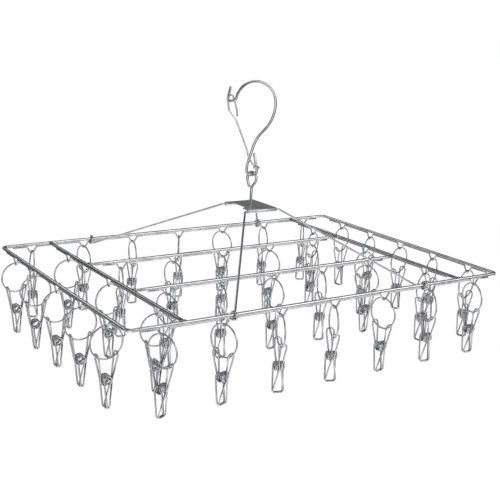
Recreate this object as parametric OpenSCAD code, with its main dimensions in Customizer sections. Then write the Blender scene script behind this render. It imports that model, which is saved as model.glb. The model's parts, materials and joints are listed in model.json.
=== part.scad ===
// Clip drying hanger: a rectangular wire frame hung by two bails from a swivel stem and a
// safety hook, with rows of sprung wire clips that swing on rings below every rail.
// The origin is at the inside top of the hook, where a clothes line bears.
// +X runs along the frame's long side, +Y from its front to its back, +Z up.

/* [Frame] */
// Length of the rectangular frame, between wire centres
frame_l = 500; // [480:5:560]
// Width of the rectangular frame, between wire centres
frame_w = 350; // [330:5:400]
// Wire of the frame and its bars
frame_wire = 4; // [3.6:0.1:4.4]
// Bend radius at the frame's corners
corner_r = 6; // [5:0.5:12]
// Distance of each cross bar from the frame's middle
cross_bar_x = 187.5; // [180:0.5:195]
// Distance of each inner rail from the frame's middle
inner_rail_y = 58.3; // [55:0.1:62]
// Height of the hook's inside top above the frame
hang_height = 217; // [217:1:230]

/* [Clip wires] */
// Wire welded under every rail, with a dip for each clip
clip_wire = 2; // [1.8:0.1:2.2]
// Depth of a dip
dip_depth = 7.6; // [7:0.1:8.5]
// Slope of a dip's sides
dip_slope = 58; // [54:1:62]
// Spacing of the clips on the long rails
long_pitch = 70.7; // [68:0.1:73]
// Spacing of the clips on the short rails
short_pitch = 64; // [62:0.5:66]
// Spacing of the clips on the cross bars
cross_pitch = 116; // [112:1:118]
// Spacing of the clips on the inner rails
inner_pitch = 72; // [70:0.5:73]

/* [Clips] */
// Wire of the rings and clips
peg_wire = 1.8; // [1.6:0.1:1.8]
// Ring diameter, between wire centres
ring_d = 35.6; // [34:0.1:37]
// Depth of the coil's axis below the frame
coil_drop = 65.5; // [64:0.5:68]
// Coil diameter over the wire
coil_d = 10.6; // [10:0.1:10.6]
// Turns in the coil
coil_turns = 6; // [5:1:7]
// Length of the jaws below the coil's axis
jaw_l = 30; // [26:1:34]
// Width of a finger loop, between wire centres
finger_w = 6.6; // [6:0.1:7.5]
// Width of the fixed jaw, between wire centres
fixed_jaw_w = 11.4; // [10:0.2:12]
// Width of the moving jaw's tip, between wire centres
moving_jaw_w = 12.4; // [10:0.2:13]

/* [Bails and plate] */
// Wire of the two bails
bail_wire = 2.4; // [2.2:0.1:2.6]
// Distance of each bail's eyelet from the frame's middle
eyelet_x = 130; // [126:0.5:131]
// Height of the plate's top above the frame
plate_rise = 70.6; // [66:0.2:74]
// Length of the plate and its two hems
plate_l = 41; // [38:1:44]
// Distance of each hem's bore from the plate's middle
hem_y = 25; // [22:0.5:28]
// Thickness of the plate
sheet = 1; // [0.8:0.1:1.2]

/* [Hook and stem] */
// Wire of the hook and the stem
hook_wire = 3.2; // [3:0.1:3.2]
// Wire of the hook's clasp
clasp_wire = 2; // [1.8:0.1:2]
// Turn of the hook about the vertical
hook_turn = -12; // [-30:1:10]
// Turn of the stem's eye about the vertical
eye_turn = -77; // [-85:1:-70]

/* [Hidden] */
$fn = 32;
frame_z = -hang_height;

// Bends are this much thicker than the straights, so that their surfaces cross cleanly
swell = 0.05;
// Reach of a straight into the bend that it meets
reach = 0.2;
// Depth to which one welded wire sinks into another
weld = 0.1;
// Running clearance of a swivel or hinge
running = 0.08;
// Gap between loose wires that cross
loose = 0.3;

// Clip wire's centre line, and the lowest point of a dip
clip_wire_z = frame_z - frame_wire / 2 - clip_wire / 2 + weld;
dip_z = clip_wire_z - dip_depth;

// The round bottom of a dip lies above the corner where its two sides would meet
dip_bend = 3;
dip_corner = dip_depth + dip_bend * (1 / cos(dip_slope) - 1);
dip_half = dip_corner / tan(dip_slope);

// Ring, measured down from the dip that carries it
ring_top = (clip_wire + peg_wire) / 2 + loose;
ring_r = ring_d / 2;
ring_centre = ring_top - ring_r;
coil_centre = frame_z - coil_drop - dip_z;

// Each lever passes the coil's flank, takes the ring inside its finger loop and meets the other at the tip
flank_x = coil_d / 2 + peg_wire / 2 + 0.4;
finger_x = (ring_r - peg_wire - loose) * sin(45);
finger_z = ring_centre - finger_x;
finger_flank_w = 4.4;
tip_x = peg_wire / 2 + loose / 2;
tip_z = coil_centre - jaw_l;

// Bail eyelets turn about the middle of the rail and clip wire that they enclose
stack = frame_wire + clip_wire - weld;
eyelet_z = frame_z + frame_wire / 2 - stack / 2;
front_eyelet_r = stack / 2 + running + bail_wire / 2;
back_eyelet_r = stack / 2 + 0.7 + bail_wire / 2;

// Plate: the sheet lies just below the crown of the hems
plate_z = frame_z + plate_rise;
hem_bore_r = bail_wire / 2 + running;
hem_r = hem_bore_r + sheet + 0.2;
hem_z = plate_z - hem_r;
sheet_z = plate_z - 0.25 - sheet;
notch_l = 28;
notch_d = 7;

// Hook in its own plane: [across, depth, height], with the height measured from its inside top
hook_top = hook_wire / 2;
eye_bottom = -110;
hook_points = [
    [-30, 5.2, -5.4],
    [-34, 4.4, -22.4],
    [-26.5, -4.2, -20.5],
    [-20.1, 0, hook_top],
    [26.2, 0, hook_top],
    [26.2, 0, -42.6],
    [2.9, 0, -66],
    [-7.1, 0, -97.8],
    [-7.2, 0, eye_bottom],
    [7.2, 0, eye_bottom],
    [1.4, 0, -84]];
hook_bends = [0, 3.4, 3.4, 26, 26, 43, 40, 8, 5.2, 5.2, 0];

// The clasp's small eye slides on the hook's free end
slide_foot = hook_points[9];
slide_dir = unit(hook_points[10] - slide_foot);
clasp_eye = slide_foot + slide_dir * 9;
clasp_eye_r = hook_wire / 2 + clasp_wire / 2 + loose + 0.05;
clasp_points = [
    clasp_eye - [0, clasp_eye_r, 0],
    [-6.3, -3.4, -89.5],
    [-9, -1.6, -78],
    [-23.5, 0, -43.6],
    [-32.8, 0, -33],
    [-35.5, 0, -16.4],
    [-30, 0, -13.4],
    [-26.5, 0, -20.4],
    [-22.9, 0, -32.4],
    [-22.2, 0, -39.4]];
clasp_bends = [0, 5, 12, 6, 8, 2.6, 2.6, 8, 8, 0];

// Stem: head below the plate, shank, and a teardrop eye that links with the hook's eye
stem_eye_top = eye_bottom + hook_wire + running;
stem_eye_r = 7.2;
head_r = 3.8;
head_h = 2;
head_z = sheet_z - running - head_h;
stem_points = [
    [0, 0, head_z + 0.3],
    [0, 0, stem_eye_top - 18.7],
    [stem_eye_r, 0, stem_eye_top - 10.2],
    [stem_eye_r, 0, stem_eye_top],
    [-stem_eye_r, 0, stem_eye_top],
    [-stem_eye_r, 0, stem_eye_top - 10.2],
    [-3.6, 0, stem_eye_top - 18.2]];
stem_bends = [0, 6, 6, 6.5, 6.5, 6, 0];

// Rows of clips: [name, middle of the rail, the rail's direction, spacing, each ring's turn from square]
along_x = 0;
along_y = 90;
rows = [
    ["front_clip", [0, -frame_w / 2], along_x, long_pitch, [24, 16, -20, -22, 7, -15, -6]],
    ["back_clip", [0, frame_w / 2], along_x, long_pitch, [-30, 5, -10, -28, 17, -14, -30]],
    ["left_clip", [-frame_l / 2, 0], along_y, short_pitch, [0, -4, 3, -6, 2]],
    ["right_clip", [frame_l / 2, 0], along_y, short_pitch, [14, 22, 12, 24, 16]],
    ["left_bar_clip", [-cross_bar_x, 0], along_y, cross_pitch, [-8, 10, -5]],
    ["right_bar_clip", [cross_bar_x, 0], along_y, cross_pitch, [20, 8, 26]],
    ["near_rail_clip", [0, -inner_rail_y], along_x, inner_pitch, [12, -14, 8, -20, 16]],
    ["far_rail_clip", [0, inner_rail_y], along_x, inner_pitch, [-18, 10, -12, 20, -8]]];
// Only the front row's moving jaws are separate pieces
working_row = rows[0];

function clip_name(row, k) = str(row[0], "_", k + 1);
function jaw_name(k) = str("front_jaw_", k + 1);
function last_clip(row) = len(row[4]) - 1;
function offset_along(row, k) = (k - last_clip(row) / 2) * row[3];
function clip_place(row, k) = [
    row[1].x + offset_along(row, k) * cos(row[2]),
    row[1].y + offset_along(row, k) * sin(row[2]),
    dip_z];

// --- Wire ---

function unit(v) = v / norm(v);
function turn(a, b) = acos(max(-1, min(1, a * b)));

// Places children so that their X, Y and Z point along the given directions
module along(x, y, z, origin) {
    multmatrix([
        [x.x, y.x, z.x, origin.x],
        [x.y, y.y, z.y, origin.y],
        [x.z, y.z, z.z, origin.z],
        [0, 0, 0, 1]])
        children();
}

// Straight round wire from p to q
module straight(p, q, d) {
    dir = unit(q - p);
    side = unit(cross(dir, abs(dir.z) < 0.9 ? [0, 0, 1] : [1, 0, 0]));
    along(side, cross(dir, side), dir, p)
        cylinder(h = norm(q - p), d = d);
}

// Round bend at a corner, from direction a to direction b
module bend(corner, a, b, d, r) {
    angle = turn(a, b);
    normal = unit(cross(a, b));
    inward = cross(normal, a);
    centre = corner - a * r * tan(angle / 2) + inward * r;
    along(-inward, cross(normal, -inward), normal, centre)
        rotate_extrude(angle = angle, $fn = 48)
            translate([r, 0])
                circle(d = d + 2 * swell);
}

// Round wire along a list of points, with a bend radius for each corner
module wire(points, d, bends, closed = false) {
    n = len(points);
    legs = closed ? n : n - 1;
    dirs = [for (i = [0:legs - 1]) unit(points[(i + 1) % n] - points[i])];
    function is_bend(i) = closed || (i > 0 && i < n - 1);
    function before(i) = dirs[(i + n - 1) % n];
    function trim(i) = is_bend(i) ? bends[i] * tan(turn(before(i), dirs[i]) / 2) - reach : 0;
    for (i = [0:legs - 1])
        straight(points[i] + dirs[i] * trim(i), points[(i + 1) % n] - dirs[i] * trim((i + 1) % n), d);
    for (i = [0:n - 1])
        if (is_bend(i))
            bend(points[i], before(i), dirs[i], d, bends[i]);
}

module ring(r, d) {
    rotate_extrude($fn = 48)
        translate([r, 0])
            circle(d = d);
}

// --- Frame ---

module outer_frame() {
    x = frame_l / 2;
    y = frame_w / 2;
    color("silver")
        translate([0, 0, frame_z])
            wire([[-x, -y, 0], [x, -y, 0], [x, y, 0], [-x, y, 0]], frame_wire,
                 [corner_r, corner_r, corner_r, corner_r], closed = true);
}

module cross_bar(side) {
    end_y = frame_w / 2 - frame_wire / 2 + weld;
    color("dimgray")
        straight([side * cross_bar_x, -end_y, frame_z], [side * cross_bar_x, end_y, frame_z], frame_wire);
}

module inner_rail(side) {
    end_x = cross_bar_x - frame_wire / 2 + weld;
    color("silver")
        straight([-end_x, side * inner_rail_y, frame_z], [end_x, side * inner_rail_y, frame_z], frame_wire);
}

// Wire welded along the underside of one row's rail
module clip_wire_for(row, half_l) {
    points = concat(
        [[-half_l, 0, 0]],
        [for (k = [0:last_clip(row)])
            each [for (step = [-1:1]) [offset_along(row, k) + step * dip_half, 0, step == 0 ? -dip_corner : 0]]],
        [[half_l, 0, 0]]);
    translate([row[1].x, row[1].y, clip_wire_z])
        rotate([0, 0, row[2]])
            wire(points, clip_wire, [for (i = [0:len(points) - 1]) i % 3 == 2 ? dip_bend : 2]);
}

module frame_clip_wires() {
    color("silver") {
        for (row = [rows[0], rows[1]])
            clip_wire_for(row, frame_l / 2 - 14);
        for (row = [rows[2], rows[3]])
            clip_wire_for(row, frame_w / 2 - 16);
    }
}

module bar_clip_wires() {
    color("silver") {
        for (row = [rows[4], rows[5]])
            clip_wire_for(row, frame_w / 2 - 22);
        for (row = [rows[6], rows[7]])
            clip_wire_for(row, cross_bar_x - 20);
    }
}

// --- Bails and plate ---

module bail(side, eyelet_r) {
    lean = unit([0, side * (hem_y - frame_w / 2), hem_z - eyelet_z]);
    corner_x = plate_l / 2 + 3.5;
    function eyelet(x) = [x, side * frame_w / 2, eyelet_z];
    function foot(x) = eyelet(x) + lean * (eyelet_r + bail_wire / 4);
    function corner(x) = [x, side * hem_y, hem_z];
    color("silver") {
        wire([foot(-eyelet_x), corner(-corner_x), corner(corner_x), foot(eyelet_x)],
             bail_wire, [0, 4, 4, 0]);
        for (x = [-eyelet_x, eyelet_x])
            translate(eyelet(x))
                rotate([0, 90, 0])
                    ring(eyelet_r, bail_wire);
    }
}

module hem(side) {
    translate([-plate_l / 2, side * hem_y, hem_z])
        rotate([0, 90, 0])
            difference() {
                cylinder(h = plate_l, r = hem_r);
                translate([0, 0, -1])
                    cylinder(h = plate_l + 2, r = hem_bore_r);
            }
}

module plate() {
    sheet_w = 2 * hem_y - 1.4;
    color("gray") {
        difference() {
            translate([-plate_l / 2, -sheet_w / 2, sheet_z])
                cube([plate_l, sheet_w, sheet]);
            translate([0, 0, sheet_z - 1])
                cylinder(h = sheet + 2, r = hook_wire / 2 + running);
            translate([-plate_l / 2 - 1, -notch_l / 2, sheet_z - 1])
                cube([notch_d + 1, notch_l, sheet + 2]);
        }
        hem(-1);
        hem(1);
    }
}

// --- Stem, hook and clasp ---

module stem() {
    color("silver")
        rotate([0, 0, eye_turn]) {
            wire(stem_points, hook_wire, stem_bends);
            translate([0, 0, head_z])
                cylinder(h = head_h, r = head_r);
        }
}

module hook() {
    color("silver")
        rotate([0, 0, hook_turn])
            wire(hook_points, hook_wire, hook_bends);
}

module clasp() {
    color("silver")
        rotate([0, 0, hook_turn]) {
            wire(clasp_points, clasp_wire, clasp_bends);
            along(cross([0, 1, 0], slide_dir), [0, 1, 0], slide_dir, clasp_eye)
                ring(clasp_eye_r, clasp_wire);
        }
}

// --- Clips ---

// One side of the clip: a closed loop of wire from the finger loop, past the coil, to the jaw's tip
module lever(side, flank_w, jaw_w) {
    function pair(x, w, z, near) = [side * x, near * w / 2, z];
    wire([pair(finger_x, finger_w, finger_z, -1),
          pair(finger_x, finger_w, finger_z, 1),
          pair(flank_x, flank_w, coil_centre, 1),
          pair(tip_x, jaw_w, tip_z, 1),
          pair(tip_x, jaw_w, tip_z, -1),
          pair(flank_x, flank_w, coil_centre, -1)],
         peg_wire, [2.8, 2.8, 3, 2.6, 2.6, 3], closed = true);
}

module coil() {
    pitch = peg_wire - 2 * swell;
    translate([0, 0, coil_centre])
        rotate([90, 0, 0])
            rotate_extrude($fn = 48)
                for (i = [0:coil_turns - 1])
                    translate([(coil_d - peg_wire) / 2, (i - (coil_turns - 1) / 2) * pitch])
                        circle(d = peg_wire);
}

// Places children at clip k, with the ring's plane square to the rail apart from its turn
module at_clip(row, k) {
    translate(clip_place(row, k))
        rotate([0, 0, row[2] + row[4][k] + 90])
            children();
}

module fixed_lever() {
    lever(1, fixed_jaw_w, fixed_jaw_w);
}

module moving_lever() {
    lever(-1, finger_flank_w, moving_jaw_w);
}

module clip(whole) {
    color("silver") {
        translate([0, 0, ring_centre])
            rotate([90, 0, 0])
                ring(ring_r, peg_wire);
        coil();
        fixed_lever();
        if (whole)
            moving_lever();
    }
}

outer_frame();
cross_bar(-1);  // left_cross_bar
cross_bar(1);  // right_cross_bar
inner_rail(-1);  // near_inner_rail
inner_rail(1);  // far_inner_rail
frame_clip_wires();
bar_clip_wires();
bail(-1, front_eyelet_r);  // front_bail
bail(1, back_eyelet_r);  // back_bail
plate();
stem();
hook();
clasp();
for (row = rows)
    for (k = [0:last_clip(row)])
        at_clip(row, k) clip(row != working_row);
for (k = [0:last_clip(working_row)])
    at_clip(working_row, k) color("gray") moving_lever();
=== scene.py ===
"""Looks of the clip drying hanger: smooth wires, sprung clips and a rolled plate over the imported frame.

Metres, +Z up, with the origin at the inside top of the hook."""

import json
import math

import bpy
from mathutils import Matrix, Vector


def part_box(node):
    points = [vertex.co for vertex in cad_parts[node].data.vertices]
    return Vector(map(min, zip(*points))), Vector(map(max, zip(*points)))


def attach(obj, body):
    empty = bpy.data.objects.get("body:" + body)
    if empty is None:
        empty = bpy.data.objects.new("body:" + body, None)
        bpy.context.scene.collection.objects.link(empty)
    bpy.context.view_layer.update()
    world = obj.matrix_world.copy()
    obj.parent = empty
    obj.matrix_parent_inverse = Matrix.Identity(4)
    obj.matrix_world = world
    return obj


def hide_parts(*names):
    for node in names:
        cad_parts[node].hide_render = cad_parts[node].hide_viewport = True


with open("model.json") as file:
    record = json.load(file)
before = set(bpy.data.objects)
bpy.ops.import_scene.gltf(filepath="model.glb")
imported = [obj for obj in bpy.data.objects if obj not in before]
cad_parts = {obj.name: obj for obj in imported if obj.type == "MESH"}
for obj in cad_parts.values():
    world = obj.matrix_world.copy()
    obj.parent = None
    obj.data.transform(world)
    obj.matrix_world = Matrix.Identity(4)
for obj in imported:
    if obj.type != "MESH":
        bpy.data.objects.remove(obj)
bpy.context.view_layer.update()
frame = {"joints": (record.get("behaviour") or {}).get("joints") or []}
JOINTS = {joint["name"]: joint for joint in frame["joints"]}
MM = 0.001
TURN = 2 * math.pi


# --- Sizes, from the frame ---


def middle(node):
    low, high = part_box(node)
    return (low + high) / 2


def extent(node):
    low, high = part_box(node)
    return high - low


def pivot(joint):
    return Vector(JOINTS[joint]["pos_m"])


RAIL_WIRE = extent("left_cross_bar").z
CLIP_WIRE = 2 * MM
BAIL_WIRE = 2.4 * MM
HOOK_WIRE = 3.2 * MM
CLASP_WIRE = 2 * MM
PEG_WIRE = 1.8 * MM

FRAME_Z = middle("left_cross_bar").z
HALF_L = (extent("outer_frame").x - RAIL_WIRE) / 2
HALF_W = (extent("outer_frame").y - RAIL_WIRE) / 2
BAR_X = middle("right_cross_bar").x
RAIL_Y = middle("far_inner_rail").y
CORNER_R = 6 * MM
CLIP_WIRE_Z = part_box("frame_clip_wires")[1].z - CLIP_WIRE / 2
DIP_Z = pivot("front_clip_1_swing").z

# Clips, measured from the dip that carries each ring
RING_R = 17.8 * MM
RING_Z = (CLIP_WIRE + PEG_WIRE) / 2 + 0.3 * MM - RING_R
COIL_Z = pivot("front_jaw_1_squeeze").z - DIP_Z
COIL_R = 4.4 * MM
LEVER_R = COIL_R + PEG_WIRE
COIL_HALF_TURNS = 2.5
COIL_PITCH = 1.82 * MM
FINGER_X = (RING_R - PEG_WIRE - 0.3 * MM) * math.sin(math.radians(45))
FINGER_Z = RING_Z - FINGER_X
FINGER_W = 8.6 * MM
LEVER_W = 2.0 * MM
TIP_X = PEG_WIRE / 2 + 0.15 * MM
TIP_Z = COIL_Z - 30 * MM
SQUARE_JAW_W = 11.4 * MM
SPLAYED_JAW_W = 12.4 * MM

# Rows of clips: node names, the rail's direction in degrees, and each ring's turn from square
ROWS = {
    "front_clip": (0, (24, 16, -20, -22, 7, -15, -6)),
    "back_clip": (0, (-30, 5, -10, -28, 17, -14, -30)),
    "left_clip": (90, (0, -4, 3, -6, 2)),
    "right_clip": (90, (14, 22, 12, 24, 16)),
    "left_bar_clip": (90, (-8, 10, -5)),
    "right_bar_clip": (90, (20, 8, 26)),
    "near_rail_clip": (0, (12, -14, 8, -20, 16)),
    "far_rail_clip": (0, (-18, 10, -12, 20, -8)),
}
WORKING_ROW = "front_clip"


# --- Wire ---


def rounded(points, bends, closed=False, step=math.radians(7)):
    """The points of a centre line with a round bend at each corner."""
    points = [Vector(p) for p in points]
    n = len(points)
    path = []
    for i, corner in enumerate(points):
        if not closed and i in (0, n - 1):
            path.append(corner)
            continue
        a = (corner - points[i - 1]).normalized()
        b = (points[(i + 1) % n] - corner).normalized()
        angle = a.angle(b)
        if angle < 1e-4 or bends[i] == 0:
            path.append(corner)
            continue
        radius = bends[i]
        start = corner - a * radius * math.tan(angle / 2)
        normal = a.cross(b).normalized()
        centre = start + normal.cross(a) * radius
        steps = max(2, math.ceil(angle / step))
        for k in range(steps + 1):
            path.append(centre + Matrix.Rotation(angle * k / steps, 3, normal) @ (start - centre))
    return path


def helix(centre, radius, start, end, low, high, steps_per_turn=32):
    """Points round an axis along Y through centre, from one angle and Y to another."""
    count = max(2, math.ceil(abs(end - start) / TURN * steps_per_turn))
    path = []
    for k in range(count + 1):
        t = k / count
        angle = start + (end - start) * t
        y = low + (high - low) * t
        path.append(centre + Vector((radius * math.cos(angle), y, radius * math.sin(angle))))
    return path


class Wires:
    """Round wires gathered into one mesh, each vertex knowing its place round and along its wire."""

    def __init__(self):
        self.verts = []
        self.faces = []
        self.along = []

    def ring(self, centre, x, y, radius, sides, length):
        first = len(self.verts)
        for k in range(sides):
            c, s = math.cos(TURN * k / sides), math.sin(TURN * k / sides)
            self.verts.append(centre + (x * c + y * s) * radius)
            self.along.append((c, s, length))
        return first

    def skin(self, a, b, sides):
        for k in range(sides):
            m = (k + 1) % sides
            self.faces.append((a + k, a + m, b + m, b + k))

    def add(self, path, diameter, closed=False, sides=14):
        """A wire along path. An open wire has chamfered, closed ends."""
        path = [p for i, p in enumerate(path) if i == 0 or (p - path[i - 1]).length > 1e-6]
        if closed and (path[0] - path[-1]).length < 1e-6:
            path.pop()
        n = len(path)
        tangents = []
        for i in range(n):
            before = path[i - 1] if closed or i else path[0]
            after = path[(i + 1) % n] if closed or i < n - 1 else path[-1]
            tangents.append((after - before).normalized())
        x = tangents[0].orthogonal().normalized()
        frames = [x]
        for i in range(1, n):
            x = tangents[i - 1].rotation_difference(tangents[i]) @ x
            frames.append((x - tangents[i] * x.dot(tangents[i])).normalized())
        if closed:
            back = tangents[-1].rotation_difference(tangents[0]) @ frames[-1]
            twist = math.atan2(tangents[0].dot(back.cross(frames[0])), back.dot(frames[0]))
            frames = [Matrix.Rotation(twist * i / n, 3, t) @ f
                      for i, (t, f) in enumerate(zip(tangents, frames))]
        length = 0
        rings = []
        for i in range(n):
            if i:
                length += (path[i] - path[i - 1]).length
            across = tangents[i].cross(frames[i])
            rings.append(self.ring(path[i], frames[i], across, diameter / 2, sides, length))
        for a, b in zip(rings, rings[1:]):
            self.skin(a, b, sides)
        if closed:
            self.skin(rings[-1], rings[0], sides)
        else:
            for i, outward in ((0, -tangents[0]), (-1, tangents[-1])):
                across = tangents[i].cross(frames[i])
                self.cap(rings[i], path[i], frames[i], across, outward, diameter / 2, sides, i == 0)

    def cap(self, edge, centre, x, y, outward, radius, sides, is_start):
        """A slightly domed end, as a cut and tumbled wire has."""
        length = self.along[edge][2]
        for shrink, reach in ((0.93, 0.1), (0.7, 0.2), (0.3, 0.25)):
            inner = self.ring(centre + outward * reach * radius, x, y, radius * shrink, sides, length)
            if is_start:
                self.skin(inner, edge, sides)
            else:
                self.skin(edge, inner, sides)
            edge = inner
        face = tuple(range(edge, edge + sides))
        self.faces.append(face[::-1] if is_start else face)

    def bead(self, centre, axis, across, length, width, height):
        """A spot of weld: a low oval mound, lying along axis and rising along the cross product."""
        up = axis.cross(across).normalized()
        rows, columns = 5, 12
        previous = None
        for j in range(rows):
            lift = math.sin(math.pi / 2 * j / (rows - 1))
            spread = max(math.cos(math.pi / 2 * j / (rows - 1)), 0.05)
            first = len(self.verts)
            for k in range(columns):
                angle = TURN * k / columns
                ripple = 1 + 0.08 * math.sin(3 * angle + 2 * lift)
                point = axis * (length / 2 * math.cos(angle)) + across * (width / 2 * math.sin(angle))
                self.verts.append(centre + point * spread * ripple + up * height * lift)
                self.along.append((math.cos(angle), math.sin(angle), lift * MM))
            if previous is not None:
                self.skin(previous, first, columns)
            previous = first
        self.faces.append(tuple(range(previous, previous + columns)))

    def mesh(self, name):
        mesh = bpy.data.meshes.new(name)
        mesh.from_pydata(self.verts, [], self.faces)
        attribute = mesh.attributes.new("wire", "FLOAT_VECTOR", "POINT")
        attribute.data.foreach_set("vector", [c for place in self.along for c in place])
        mesh.polygons.foreach_set("use_smooth", [True] * len(mesh.polygons))
        mesh.update()
        return mesh


def piece(name, mesh, material, body, replaced=(), place=None):
    """One object that rides on a body and stands for the CAD nodes given."""
    obj = bpy.data.objects.new(name, mesh)
    bpy.context.scene.collection.objects.link(obj)
    if not mesh.materials:
        mesh.materials.append(material)
    if place is not None:
        obj.matrix_world = place
    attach(obj, body)
    if replaced:
        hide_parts(*replaced)
    return obj


# --- Materials ---


class Nodes:
    """A short way to write a material's node tree."""

    def __init__(self, name):
        self.material = bpy.data.materials.new(name)
        self.material.use_nodes = True
        self.tree = self.material.node_tree
        self.shader = self.tree.nodes["Principled BSDF"]

    def node(self, kind, values=None, **settings):
        node = self.tree.nodes.new(kind)
        for key, value in settings.items():
            setattr(node, key, value)
        for key, value in (values or {}).items():
            if isinstance(value, bpy.types.NodeSocket):
                self.tree.links.new(value, node.inputs[key])
            else:
                node.inputs[key].default_value = value
        return node

    def noise(self, vector, scale, detail=3):
        node = self.node("ShaderNodeTexNoise", {"Vector": vector, "Scale": scale, "Detail": detail})
        return node.outputs["Fac"]

    def stretched(self, vector, scale):
        return self.node("ShaderNodeMapping", {"Vector": vector, "Scale": scale}).outputs["Vector"]

    def ramp(self, value, low, high, start, end):
        """value from low..high mapped to start..end, held at both ends."""
        node = self.node("ShaderNodeMapRange", {"Value": value, "From Min": low, "From Max": high,
                                                "To Min": start, "To Max": end})
        return node.outputs["Result"]

    def mix(self, factor, a, b):
        """A colour between a and b: the node's sockets 6 and 7 are colours, and so is its output 2."""
        node = self.node("ShaderNodeMix", data_type="RGBA")
        self.tree.links.new(factor, node.inputs["Factor"])
        for socket, value in ((node.inputs[6], a), (node.inputs[7], b)):
            if isinstance(value, bpy.types.NodeSocket):
                self.tree.links.new(value, socket)
            else:
                socket.default_value = (*value, 1)
        return node.outputs[2]

    def set(self, **values):
        for key, value in values.items():
            socket = self.shader.inputs[key.replace("_", " ")]
            if isinstance(value, bpy.types.NodeSocket):
                self.tree.links.new(value, socket)
            else:
                socket.default_value = value

    def bump(self, height, strength, distance):
        values = {"Height": height, "Strength": strength, "Distance": distance}
        node = self.node("ShaderNodeBump", values)
        self.tree.links.new(node.outputs["Normal"], self.shader.inputs["Normal"])


def drawn_wire(name, bright, dull, smooth, rough, draw_marks):
    """Drawn stainless wire: die lines along its length, faint handling marks and uneven polish."""
    m = Nodes(name)
    wire = m.node("ShaderNodeAttribute", attribute_name="wire").outputs["Vector"]
    place = m.node("ShaderNodeTexCoord").outputs["Object"]
    die_lines = m.noise(m.stretched(wire, (7, 7, 60)), 1, 4)
    patches = m.noise(place, 90, 3)
    specks = m.noise(place, 1400, 2)
    m.set(Metallic=1.0)
    worn = m.ramp(patches, 0.35, 0.7, 0, 1)
    fine = m.ramp(die_lines, 0.3, 0.7, 0, 1)
    tone = m.mix(worn, bright, dull)
    m.set(Base_Color=m.mix(m.ramp(specks, 0.68, 0.78, 0, 0.5), tone, tuple(c * 0.55 for c in dull)))
    both = m.node("ShaderNodeMath", {0: worn, 1: fine}, operation="ADD").outputs[0]
    m.set(Roughness=m.ramp(both, 0.3, 1.8, smooth, rough))
    m.bump(fine, draw_marks, 0.00004)
    return m.material


def weld_metal():
    """Small resistance welds: duller than the wire, and lumpy."""
    m = Nodes("weld")
    place = m.node("ShaderNodeTexCoord").outputs["Object"]
    lumps = m.noise(place, 1500, 4)
    tint = m.noise(place, 400, 2)
    m.set(Metallic=1.0)
    m.set(Base_Color=m.mix(m.ramp(tint, 0.35, 0.65, 0, 1), (0.5, 0.5, 0.49), (0.3, 0.29, 0.28)))
    m.set(Roughness=m.ramp(lumps, 0.3, 0.7, 0.28, 0.5))
    m.bump(lumps, 0.6, 0.00015)
    return m.material


def brushed_sheet(name, bright, dull):
    """Brushed sheet: fine lines along the plate's length, with a few deeper scratches."""
    m = Nodes(name)
    place = m.node("ShaderNodeTexCoord").outputs["Object"]
    lines = m.noise(m.stretched(place, (60, 2600, 2600)), 1, 5)
    scratches = m.noise(m.stretched(place, (90, 900, 900)), 1, 2)
    patches = m.noise(place, 70, 3)
    m.set(Metallic=1.0)
    tone = m.mix(m.ramp(patches, 0.35, 0.65, 0, 1), bright, dull)
    m.set(Base_Color=m.mix(m.ramp(scratches, 0.66, 0.72, 0, 0.6), tone, (0.6, 0.6, 0.61)))
    m.set(Roughness=m.ramp(lines, 0.3, 0.7, 0.3, 0.48))
    m.bump(lines, 0.35, 0.00008)
    return m.material


STEEL = {
    "frame_wire": drawn_wire("frame_steel", (0.56, 0.56, 0.57), (0.42, 0.42, 0.43), 0.14, 0.3, 0.25),
    # The bars' steel is a darker copy of the frame's steel: painted shade, because the bars mirror less
    # light than the rails do.
    "bar_wire": drawn_wire("bar_steel_painted_shade", (0.38, 0.38, 0.385), (0.26, 0.26, 0.265), 0.16, 0.3, 0.35),
    "peg_wire": drawn_wire("peg_steel", (0.5, 0.5, 0.51), (0.34, 0.34, 0.35), 0.16, 0.34, 0.3),
    "hook_wire": drawn_wire("hook_steel", (0.52, 0.52, 0.53), (0.38, 0.38, 0.39), 0.14, 0.32, 0.25),
    # The plate's steel is lighter than its own grey: painted light, which makes up for the dark room that
    # the sheet mirrors.
    "plate_sheet": brushed_sheet("plate_steel_painted_light", (0.68, 0.685, 0.69), (0.54, 0.545, 0.55)),
}
HEM_STEEL = brushed_sheet("hem_steel", (0.66, 0.66, 0.67), (0.54, 0.54, 0.55))
WELD = weld_metal()


def wire_piece(name, wires, slot, body, *replaced, place=None):
    return piece(name, wires.mesh(name), STEEL[slot], body, replaced, place)


# --- Frame ---


def outer_frame():
    wires = Wires()
    corners = [(-HALF_L, -HALF_W, FRAME_Z), (HALF_L, -HALF_W, FRAME_Z),
               (HALF_L, HALF_W, FRAME_Z), (-HALF_L, HALF_W, FRAME_Z)]
    wires.add(rounded(corners, [CORNER_R] * 4, closed=True), RAIL_WIRE, closed=True, sides=24)
    wire_piece("frame_rectangle", wires, "frame_wire", "frame", "outer_frame")


def straight_wire(name, start, end, slot, node):
    wires = Wires()
    steps = 24
    wires.add([start.lerp(end, k / steps) for k in range(steps + 1)], RAIL_WIRE, sides=24)
    wire_piece(name, wires, slot, "frame", node)


def bars_and_rails():
    reach_y = HALF_W - RAIL_WIRE / 2 + 0.1 * MM
    reach_x = BAR_X - RAIL_WIRE / 2 + 0.1 * MM
    for side, word in ((-1, "left"), (1, "right")):
        start, end = (Vector((side * BAR_X, s * reach_y, FRAME_Z)) for s in (-1, 1))
        straight_wire(f"{word}_bar", start, end, "bar_wire", f"{word}_cross_bar")
    for side, word in ((-1, "near"), (1, "far")):
        start, end = (Vector((s * reach_x, side * RAIL_Y, FRAME_Z)) for s in (-1, 1))
        straight_wire(f"{word}_rail", start, end, "frame_wire", f"{word}_inner_rail")


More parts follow.
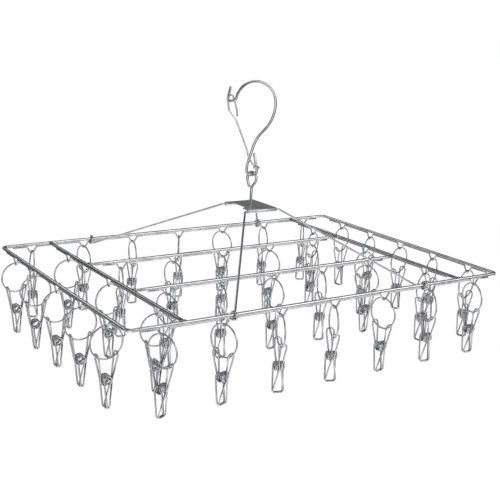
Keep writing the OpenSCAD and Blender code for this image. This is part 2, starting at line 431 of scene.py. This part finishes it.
def clip_places(row):
    """Each clip's node name, its dip, and its placing: square to the rail, but for its own turn."""
    direction, turns = ROWS[row]
    for k, turned in enumerate(turns):
        node = f"{row}_{k + 1}"
        dip = pivot(f"{node}_swing")
        spin = Matrix.Rotation(math.radians(direction + turned + 90), 4, "Z")
        yield node, dip, Matrix.Translation(dip) @ spin


def clip_wire(row, half_length):
    """The thin wire under one row's rail, which dips for every clip."""
    depth = CLIP_WIRE_Z - DIP_Z
    slope = math.radians(58)
    bottom = 3 * MM
    shoulder = 2 * MM
    corner = depth + bottom * (1 / math.cos(slope) - 1)
    half = corner / math.tan(slope)
    along = Vector((1, 0, 0)) if ROWS[row][0] == 0 else Vector((0, 1, 0))
    dips = [dip for node, dip, place in clip_places(row)]
    centre = sum(dips, Vector()) / len(dips)
    centre.z = CLIP_WIRE_Z
    points = [centre - along * half_length]
    bends = [0]
    for dip in dips:
        top = Vector((dip.x, dip.y, CLIP_WIRE_Z))
        points += [top - along * half, top - Vector((0, 0, corner)), top + along * half]
        bends += [shoulder, bottom, shoulder]
    points.append(centre + along * half_length)
    bends.append(0)
    return rounded(points, bends), dips, along


def clip_wires():
    """The eight clip wires, with two pairs of spot welds beside every dip."""
    lengths = {"front_clip": HALF_L - 14 * MM, "back_clip": HALF_L - 14 * MM,
               "left_clip": HALF_W - 16 * MM, "right_clip": HALF_W - 16 * MM,
               "left_bar_clip": HALF_W - 22 * MM, "right_bar_clip": HALF_W - 22 * MM,
               "near_rail_clip": BAR_X - 20 * MM, "far_rail_clip": BAR_X - 20 * MM}
    outer = Wires()
    inner = Wires()
    spots = Wires()
    weld_reach = 12 * MM
    for row, half_length in lengths.items():
        path, dips, along = clip_wire(row, half_length)
        wires = inner if "bar" in row or "rail" in row else outer
        wires.add(path, CLIP_WIRE, sides=14)
        contact = FRAME_Z - RAIL_WIRE / 2
        for dip in dips:
            for reach in (-weld_reach, weld_reach):
                for side in (-1, 1):
                    across = along.cross(Vector((0, 0, 1))) * side
                    spot = Vector((dip.x, dip.y, contact)) + along * reach + across * 0.35 * MM
                    tilt = (across + Vector((0, 0, -0.4))).normalized()
                    spots.bead(spot, along, tilt.cross(along),
                               length=3.2 * MM, width=1.5 * MM, height=0.75 * MM)
    wire_piece("outer_clip_wires", outer, "frame_wire", "frame", "frame_clip_wires")
    wire_piece("inner_clip_wires", inner, "frame_wire", "frame", "bar_clip_wires")
    piece("clip_wire_welds", spots.mesh("clip_wire_welds"), WELD, "frame")


COLLAR_INSET = 1.2 * MM


def weld_collar(wires, centre, outward):
    """Metal pushed up round a butt weld, flaring from a bar's end onto the wire that it meets."""
    x = outward.orthogonal().normalized()
    y = outward.cross(x)
    rows, sides = 7, 24
    depth = 2.6 * MM
    previous = None
    for k in range(rows):
        t = k / (rows - 1)
        flare = RAIL_WIRE / 2 * (1 + 0.42 * math.sin(math.pi * (0.15 + 0.5 * t)) - 0.15 * (1 - t))
        first = len(wires.verts)
        for i in range(sides):
            angle = TURN * i / sides
            lump = 1 + 0.05 * math.sin(2 * angle + 1.3) + 0.04 * math.sin(5 * angle)
            spoke = x * math.cos(angle) + y * math.sin(angle)
            wires.verts.append(centre + spoke * flare * lump + outward * (t - 1) * depth)
            wires.along.append((math.cos(angle), math.sin(angle), t * MM))
        if previous is not None:
            wires.skin(previous, first, sides)
        previous = first


def butt_welds():
    """A collar where each bar and rail ends, and the seam that closes the outer frame."""
    wires = Wires()
    for sx in (-1, 1):
        for sy in (-1, 1):
            bar_end = Vector((sx * BAR_X, sy * (HALF_W - COLLAR_INSET), FRAME_Z))
            weld_collar(wires, bar_end, Vector((0, sy, 0)))
            rail_end = Vector((sx * (BAR_X - COLLAR_INSET), sy * RAIL_Y, FRAME_Z))
            weld_collar(wires, rail_end, Vector((sx, 0, 0)))
    seam = Vector((-HALF_L + 11 * MM, -HALF_W, FRAME_Z))
    upset_half = 1.2 * MM
    upset = [seam + Vector((k * 0.35 * MM, 0, 0)) for k in range(-3, 4)]
    for a, b in zip(upset, upset[1:]):
        bulge = RAIL_WIRE + 0.5 * MM * math.cos(math.pi / 2 * (a.x - seam.x) / upset_half)
        wires.add([a, b], bulge, sides=20)
    piece("butt_welds", wires.mesh("butt_welds"), WELD, "frame")


# --- Bails and plate ---

HEM_Y = pivot("back_hem_hinge").y
HEM_Z = pivot("back_hem_hinge").z
EYELET_X = 130 * MM
EYELET_Z = pivot("front_eyelet_hinge").z
EYELET_TURNS = 1.18
EYELET_PITCH = 3.4 * MM
EYELET_INSET = 1.3 * MM
PLATE_HALF_L = extent("plate").x / 2
SHEET = 1 * MM
HEM_BORE_R = 1.32 * MM
HEM_ROLL = 318
SOFT_EDGE = 0.12 * MM


def bail(side, eyelet_r, node):
    """One wire: an arm wraps round the rail at each end, and the middle passes through a hem."""
    corner_x = PLATE_HALF_L + 3.5 * MM
    hem = Vector((0, side * HEM_Y, HEM_Z))
    rail = Vector((0, side * HALF_W, EYELET_Z))
    toward = math.atan2(hem.z - rail.z, (hem.y - rail.y) * -side)
    distance = (hem - rail).length
    touch = toward - math.acos(eyelet_r / distance)

    def round_rail(sx, angle, x):
        y = rail.y - side * eyelet_r * math.cos(angle)
        return Vector((sx * x, y, rail.z + eyelet_r * math.sin(angle)))

    def half(sx):
        steps = 44
        wrap = TURN * EYELET_TURNS
        loop = []
        for k in range(steps + 1):
            x = EYELET_X + EYELET_PITCH * k / steps - EYELET_INSET
            loop.append(round_rail(sx, touch - wrap * k / steps, x))
        arm = rounded([Vector((sx * corner_x, hem.y, hem.z)), loop[0], loop[3]], [0, 3 * MM, 0])
        return arm[1:] + loop[4:]

    right = half(1)
    left = half(-1)
    middle_part = rounded([left[0], (-corner_x, hem.y, hem.z), (corner_x, hem.y, hem.z), right[0]],
                          [0, 4 * MM, 4 * MM, 0])
    wires = Wires()
    wires.add(left[::-1] + middle_part[1:-1] + right, BAIL_WIRE, sides=16)
    wire_piece(node + "_wire", wires, "frame_wire", node, node)


def hem_profile(side):
    """Outline, in Y and Z, of an edge rolled into an open tube."""
    roll = HEM_BORE_R + SHEET / 2
    steps = 32
    centre = Vector((side * HEM_Y, HEM_Z))
    outer, inner = [], []
    for k in range(steps + 1):
        angle = math.radians(90 - HEM_ROLL * k / steps)
        spoke = Vector((side * math.cos(angle), math.sin(angle)))
        outer.append(centre + spoke * (roll + SHEET / 2))
        inner.append(centre + spoke * (roll - SHEET / 2))
    return outer + inner[::-1]


def extruded(profile, half_length):
    """A prism along X with softened ends."""
    n = len(profile)
    winding = 1 if signed_area(profile) > 0 else -1
    shoulder = half_length - 0.15 * MM
    verts, faces = [], []
    for x, inset in ((-half_length, SOFT_EDGE), (-shoulder, 0), (shoulder, 0), (half_length, SOFT_EDGE)):
        for i, p in enumerate(profile):
            edge = (profile[(i + 1) % n] - profile[i - 1]).normalized()
            inward = Vector((-edge.y, edge.x)) * winding
            q = p + inward * inset
            verts.append(Vector((x, q.x, q.y)))
    for r in range(3):
        for i in range(n):
            j = (i + 1) % n
            faces.append((r * n + i, r * n + j, (r + 1) * n + j, (r + 1) * n + i))
    faces.append(tuple(range(n))[::-1])
    faces.append(tuple(range(3 * n, 4 * n)))
    return verts, faces


def signed_area(profile):
    return sum(a.x * b.y - b.x * a.y for a, b in zip(profile, profile[1:] + profile[:1])) / 2


def notched_outline():
    """The sheet seen from above, with a shallow round-cornered notch in its left edge."""
    depth, half, slant = 7 * MM, 14 * MM, 4 * MM
    crisp, soft = 0.3 * MM, 3 * MM
    left = -PLATE_HALF_L
    corners = [(PLATE_HALF_L, -HEM_Y, 0), (PLATE_HALF_L, HEM_Y, 0), (left, HEM_Y, 0),
               (left, half, 0), (left + depth, half - slant, 0),
               (left + depth, -half + slant, 0), (left, -half, 0), (left, -HEM_Y, 0)]
    return rounded(corners, [crisp] * 3 + [soft] * 4 + [crisp], closed=True)


def flat_sheet(name, outline, hole_r, thick, z):
    """A flat sheet with a round hole at the origin and softened edges."""
    curve = bpy.data.curves.new(name, "CURVE")
    curve.dimensions = "2D"
    curve.fill_mode = "BOTH"
    curve.extrude = thick / 2 - SOFT_EDGE
    curve.bevel_depth = SOFT_EDGE
    curve.bevel_resolution = 2
    curve.offset = -SOFT_EDGE
    steps = 40
    hole = [Vector((hole_r * math.cos(TURN * k / steps), hole_r * math.sin(TURN * k / steps), 0))
            for k in range(steps)]
    for points in (outline, hole):
        spline = curve.splines.new("POLY")
        spline.points.add(len(points) - 1)
        for point, place in zip(spline.points, points):
            point.co = (place.x, place.y, 0, 1)
        spline.use_cyclic_u = True
    holder = bpy.data.objects.new(name + "_curve", curve)
    bpy.context.scene.collection.objects.link(holder)
    bpy.context.view_layer.update()
    evaluated = holder.evaluated_get(bpy.context.evaluated_depsgraph_get())
    mesh = bpy.data.meshes.new_from_object(evaluated)
    bpy.data.objects.remove(holder)
    mesh.transform(Matrix.Translation((0, 0, z)))
    return mesh


def plate():
    """A notched sheet over the tops of its two rolled hems."""
    crown = HEM_Z + HEM_BORE_R + SHEET
    hole_r = HOOK_WIRE / 2 + 0.08 * MM
    sheet = flat_sheet("plate_sheet", notched_outline(), hole_r, SHEET, crown - SHEET / 2)
    sheet.materials.clear()
    piece("plate_sheet", sheet, STEEL["plate_sheet"], "plate", ("plate",))
    for side, word in ((-1, "front"), (1, "back")):
        verts, faces = extruded(hem_profile(side), PLATE_HALF_L)
        mesh = bpy.data.meshes.new(word + "_hem")
        mesh.from_pydata(verts, [], faces)
        mesh.polygons.foreach_set("use_smooth", [len(f) == 4 for f in faces])
        mesh.update()
        piece(word + "_hem", mesh, HEM_STEEL, "plate")


# --- Stem, hook and clasp ---


def mm_points(points):
    return [Vector(p) * MM for p in points]


def turned(degrees):
    return Matrix.Rotation(math.radians(degrees), 4, "Z")


# Degrees about +Z, and then centre lines in millimetres
HOOK_TURN = -12
EYE_TURN = -77
EYE_BOTTOM = pivot("link_swing").z / MM
HOOK_POINTS = mm_points([
    (-30, 5.2, -5.4), (-34, 4.4, -22.4), (-26.5, -4.2, -20.5), (-20.1, 0, 1.6),
    (26.2, 0, 1.6), (26.2, 0, -42.6), (2.9, 0, -66), (-7.1, 0, -97.8),
    (-7.2, 0, EYE_BOTTOM), (7.2, 0, EYE_BOTTOM), (1.4, 0, -84)])
HOOK_BENDS = [b * MM for b in (0, 3.4, 3.4, 26, 26, 43, 40, 8, 5.2, 5.2, 0)]
SLIDE = (HOOK_POINTS[10] - HOOK_POINTS[9]).normalized()
CLASP_EYE = HOOK_POINTS[9] + SLIDE * 9 * MM
CLASP_EYE_R = HOOK_WIRE / 2 + CLASP_WIRE / 2 + 0.35 * MM
CLASP_POINTS = mm_points([
    (-6.3, -3.4, -89.5), (-9, -1.6, -78), (-23.5, 0, -43.6), (-32.8, 0, -33), (-35.5, 0, -16.4),
    (-30, 0, -13.4), (-26.5, 0, -20.4), (-22.9, 0, -32.4), (-22.2, 0, -39.4)])
CLASP_BENDS = [b * MM for b in (5, 12, 6, 8, 2.6, 2.6, 8, 8, 0)]
STEM_EYE_TOP = EYE_BOTTOM + 3.28
STEM_HEAD_DEPTH = 2
STEM_HEAD_Z = (HEM_Z + 1.15 * MM) / MM - STEM_HEAD_DEPTH


def hook():
    wires = Wires()
    wires.add(rounded(HOOK_POINTS, HOOK_BENDS), HOOK_WIRE, sides=20)
    wire_piece("hook_wire", wires, "hook_wire", "hook", "hook", place=turned(HOOK_TURN))


def clasp():
    """A long hairpin whose foot curls round the hook's stub end."""
    across = SLIDE.cross(Vector((0, 1, 0))).normalized()
    steps = 36
    loop = []
    for k in range(steps + 1):
        angle = math.radians(-90 - 395 * k / steps)
        climb = SLIDE * (2.3 * MM * k / steps - 1.1 * MM)
        spoke = across * math.cos(angle) + Vector((0, 1, 0)) * math.sin(angle)
        loop.append(CLASP_EYE + spoke * CLASP_EYE_R + climb)
    lead = 1.8 * MM
    onward = loop[0] + (loop[0] - loop[1]).normalized() * lead
    leg = rounded([loop[0], onward] + CLASP_POINTS, [0, lead] + CLASP_BENDS)
    wires = Wires()
    wires.add(loop[::-1] + leg[1:], CLASP_WIRE, sides=16)
    wire_piece("clasp_wire", wires, "hook_wire", "clasp", "clasp", place=turned(HOOK_TURN))


def stem():
    """A headed wire that turns in the plate, with a closed teardrop eye."""
    r = 7.2
    top = STEM_EYE_TOP
    points = mm_points([
        (0, 0, STEM_HEAD_Z + 0.8), (0, 0, top - 18.7), (r, 0, top - 10.2), (r, 0, top),
        (-r, 0, top), (-r, 0, top - 10.2), (-3.6, 0, top - 18.2)])
    wires = Wires()
    wires.add(rounded(points, [b * MM for b in (0, 6, 6, 6.5, 6.5, 6, 0)]), HOOK_WIRE, sides=20)
    head = [(0.2, 0), (2.6, 0.1), (3.5, 0.5), (3.8, 1.1), (3.7, 1.8),
            (3.2, STEM_HEAD_DEPTH), (1.6, STEM_HEAD_DEPTH)]
    sides = 32
    previous = None
    for radius, height in head:
        centre = Vector((0, 0, (STEM_HEAD_Z + height) * MM))
        first = wires.ring(centre, Vector((1, 0, 0)), Vector((0, 1, 0)), radius * MM, sides, height * MM)
        if previous is not None:
            wires.skin(previous, first, sides)
        else:
            wires.faces.append(tuple(range(first, first + sides))[::-1])
        previous = first
    wire_piece("stem_wire", wires, "hook_wire", "stem", "stem", place=turned(EYE_TURN))


# --- Clips ---

COIL = Vector((0, 0, COIL_Z))
JAW_BENDS = [0, 2.6 * MM, 2.6 * MM, 0]


def tangent(radius, x, z):
    """Angle round the coil, on its X < 0 side, where a line to (x, z) leaves a circle of that radius."""
    dx, dz = x, z - COIL_Z
    spread = math.acos(radius / math.hypot(dx, dz))
    direction = math.atan2(dz, dx)
    return direction + (spread if dz > 0 else -spread)


def on_coil(radius, angle, y):
    return COIL + Vector((radius * math.cos(angle), y, radius * math.sin(angle)))


def ring_path():
    gap = 0.5 * math.radians(1)
    centre = Vector((0, 0, RING_Z))
    return helix(centre, RING_R, math.radians(35) + gap, math.radians(395) - gap, 0, 0, 72)


def square_jaw_path():
    """A closed wire: a square jaw whose legs each wind over half of the coil and meet in its middle."""
    leave = -(tangent(COIL_R, -TIP_X, TIP_Z) + math.pi) % TURN
    leave = leave - TURN if leave > math.pi else leave
    inner_y = COIL_PITCH / 2
    outer_y = inner_y + COIL_PITCH * COIL_HALF_TURNS
    tip = [(TIP_X, s * SQUARE_JAW_W / 2, TIP_Z) for s in (1, -1)]
    winding = helix(COIL, COIL_R, leave, math.pi + TURN * (COIL_HALF_TURNS - 0.5), outer_y, inner_y)
    turn = [on_coil(COIL_R, math.pi, 0) + Vector((0, inner_y * math.cos(a), -inner_y * math.sin(a)))
            for a in (math.pi * k / 8 for k in range(1, 8))]
    mirrored = [Vector((p.x, -p.y, p.z)) for p in winding[::-1]]
    jaw = rounded([winding[0], *tip, mirrored[-1]][::-1], JAW_BENDS)
    return winding + turn + mirrored + jaw[1:-1]


def finger_points(side):
    """The rounded top of a finger loop, from one leg to the other."""
    w = FINGER_W / 2
    lean = (FINGER_X - LEVER_R) / (FINGER_Z - COIL_Z)
    shoulder = Vector((side * (FINGER_X - 6 * MM * lean), 0, FINGER_Z - 6 * MM))
    top = Vector((side * FINGER_X, 0, FINGER_Z))
    y = Vector((0, 1, 0))
    return [shoulder - y * w, top - y * w * 0.9, top + y * w * 0.9, shoulder + y * w]


FINGER_BENDS = [5 * MM, 3.4 * MM, 3.4 * MM, 5 * MM]


def finger_loop_path():
    """A closed wire: the finger loop above the square jaw, hooked under the coil."""
    leave = math.pi - tangent(LEVER_R, -FINGER_X, FINGER_Z)
    under = math.radians(-70)
    w = LEVER_W / 2
    down = [on_coil(LEVER_R, leave + (under - leave) * k / 10, w) for k in range(11)]
    back = [Vector((p.x, -p.y, p.z)) for p in down[::-1]]
    step = (down[-1] - down[-2]).normalized()
    turn = [down[-1] + Vector((0, w * (math.cos(a) - 1), 0)) + step * w * math.sin(a)
            for a in (math.pi * k / 8 for k in range(1, 8))]
    top = finger_points(1)
    loop = rounded([back[-1], *top, down[0]], [0, *FINGER_BENDS, 0])
    return down + turn + back + loop[1:-1]


def splayed_lever_path():
    """A closed wire: a finger loop that runs past the coil's middle to a splayed jaw."""
    upper = tangent(LEVER_R, -FINGER_X, FINGER_Z)
    lower = tangent(LEVER_R, -TIP_X, TIP_Z) % TURN
    angles = [upper + (lower - upper) * k / 6 for k in range(7)]
    w = LEVER_W / 2
    near = [on_coil(LEVER_R, angle, w) for angle in angles]
    far = [on_coil(LEVER_R, angle, -w) for angle in angles]
    tip = [(-TIP_X, s * SPLAYED_JAW_W / 2, TIP_Z) for s in (1, -1)]
    top = rounded([far[0], *finger_points(-1), near[0]], [0, *FINGER_BENDS, 0])
    jaw = rounded([near[-1], *tip, far[-1]], JAW_BENDS)
    return near + jaw[1:-1] + far[::-1] + top[1:-1]


def clip_mesh(name, *paths, with_ring=False):
    """Closed wires in one mesh, which many clips share, with the split ring if it belongs."""
    wires = Wires()
    for path in paths:
        wires.add(path, PEG_WIRE, closed=True, sides=12)
    if with_ring:
        wires.add(ring_path(), PEG_WIRE, sides=12)
    return wires.mesh(name)


def clips():
    """A clip in every dip. The working row's clips are in two pieces, so that their jaws open."""
    fixed_paths = (square_jaw_path(), finger_loop_path())
    held = clip_mesh("held_half", *fixed_paths, with_ring=True)
    lever = clip_mesh("splayed_lever", splayed_lever_path())
    whole = clip_mesh("whole_clip", *fixed_paths, splayed_lever_path(), with_ring=True)
    for row in ROWS:
        for node, dip, place in clip_places(row):
            if row == WORKING_ROW:
                piece(node + "_wire", held, STEEL["peg_wire"], node, (node,), place)
                jaw = node.replace("clip", "jaw")
                piece(jaw + "_wire", lever, STEEL["peg_wire"], jaw, (jaw,), place)
            else:
                piece(node + "_wire", whole, STEEL["peg_wire"], node, (node,), place)


# --- Studio ---


FLOOR_DROP = 0.75
GLOSSY_SHADE = 0.2


def floor():
    bpy.ops.mesh.primitive_circle_add(vertices=128, radius=1.3, fill_type="NGON",
                                      location=(0, 0, FRAME_Z - FLOOR_DROP))
    plane = bpy.context.object
    plane.name = "floor"
    m = Nodes("floor_paint")
    place = m.node("ShaderNodeTexCoord").outputs["Object"]
    patches = m.ramp(m.noise(place, 3), 0.3, 0.7, 0, 1)
    m.set(Base_Color=m.mix(patches, (0.95, 0.95, 0.95), (0.93, 0.93, 0.93)))
    m.set(Roughness=0.6)
    plane.data.materials.append(m.material)


def area_light(name, place, target, size, power):
    light = bpy.data.lights.new(name, "AREA")
    light.shape = "DISK"
    light.size = size
    light.energy = power
    obj = bpy.data.objects.new(name, light)
    obj.location = place
    obj.rotation_euler = (Vector(target) - Vector(place)).to_track_quat("-Z", "Y").to_euler()
    bpy.context.scene.collection.objects.link(obj)


def studio():
    """Five soft lights, in a white room that looks darker in the metal, so that wires have dark edges."""
    centre = (0, 0, FRAME_Z)
    area_light("rail_light", (1.2, -1.6, 0.8), centre, 1.8, 20)
    area_light("front_light", (-1.3, -1.9, -0.3), centre, 3.0, 34)
    area_light("bar_light", (-0.75, 1.9, 1.05), centre, 1.2, 5)
    area_light("top_light", (0.2, -0.2, 1.9), centre, 1.4, 8)
    area_light("left_light", (-2.2, 0.4, 0.2), centre, 1.0, 5)
    world = bpy.data.worlds.new("studio_air")
    bpy.context.scene.world = world
    world.use_nodes = True
    tree = world.node_tree
    background = tree.nodes["Background"]
    background.inputs["Color"].default_value = (1, 1, 1, 1)
    background.inputs["Strength"].default_value = 1.0
    shade = tree.nodes.new("ShaderNodeBackground")
    shade.inputs["Color"].default_value = (0.8, 0.83, 0.87, 1)
    shade.inputs["Strength"].default_value = GLOSSY_SHADE
    rays = tree.nodes.new("ShaderNodeLightPath")
    choice = tree.nodes.new("ShaderNodeMixShader")
    tree.links.new(rays.outputs["Is Glossy Ray"], choice.inputs["Fac"])
    tree.links.new(background.outputs[0], choice.inputs[1])
    tree.links.new(shade.outputs[0], choice.inputs[2])
    tree.links.new(choice.outputs[0], tree.nodes["World Output"].inputs["Surface"])
    bpy.context.scene.view_settings.view_transform = "Standard"


def camera():
    """The frame's near left corner points towards the viewer, seen from a little above."""
    yaw, pitch, roll = (math.radians(a) for a in (33.77, -14.23, 2.7))
    forward = Vector((math.sin(yaw) * math.cos(pitch), math.cos(yaw) * math.cos(pitch), math.sin(pitch)))
    level = Vector((math.cos(yaw), -math.sin(yaw), 0))
    upright = level.cross(forward)
    right = level * math.cos(roll) + upright * math.sin(roll)
    up = right.cross(forward)
    lens = bpy.data.cameras.new("camera")
    lens.sensor_width = 36
    lens.lens = 69.83
    obj = bpy.data.objects.new("camera", lens)
    obj.matrix_world = Matrix((right, up, -forward)).transposed().to_4x4()
    obj.location = (-0.6419, -0.9633, 0.0899)
    bpy.context.scene.collection.objects.link(obj)
    bpy.context.scene.camera = obj


outer_frame()
bars_and_rails()
clip_wires()
butt_welds()
bail(-1, 4.23 * MM, "front_bail")
bail(1, 4.85 * MM, "back_bail")
plate()
stem()
hook()
clasp()
clips()
floor()
studio()
camera()
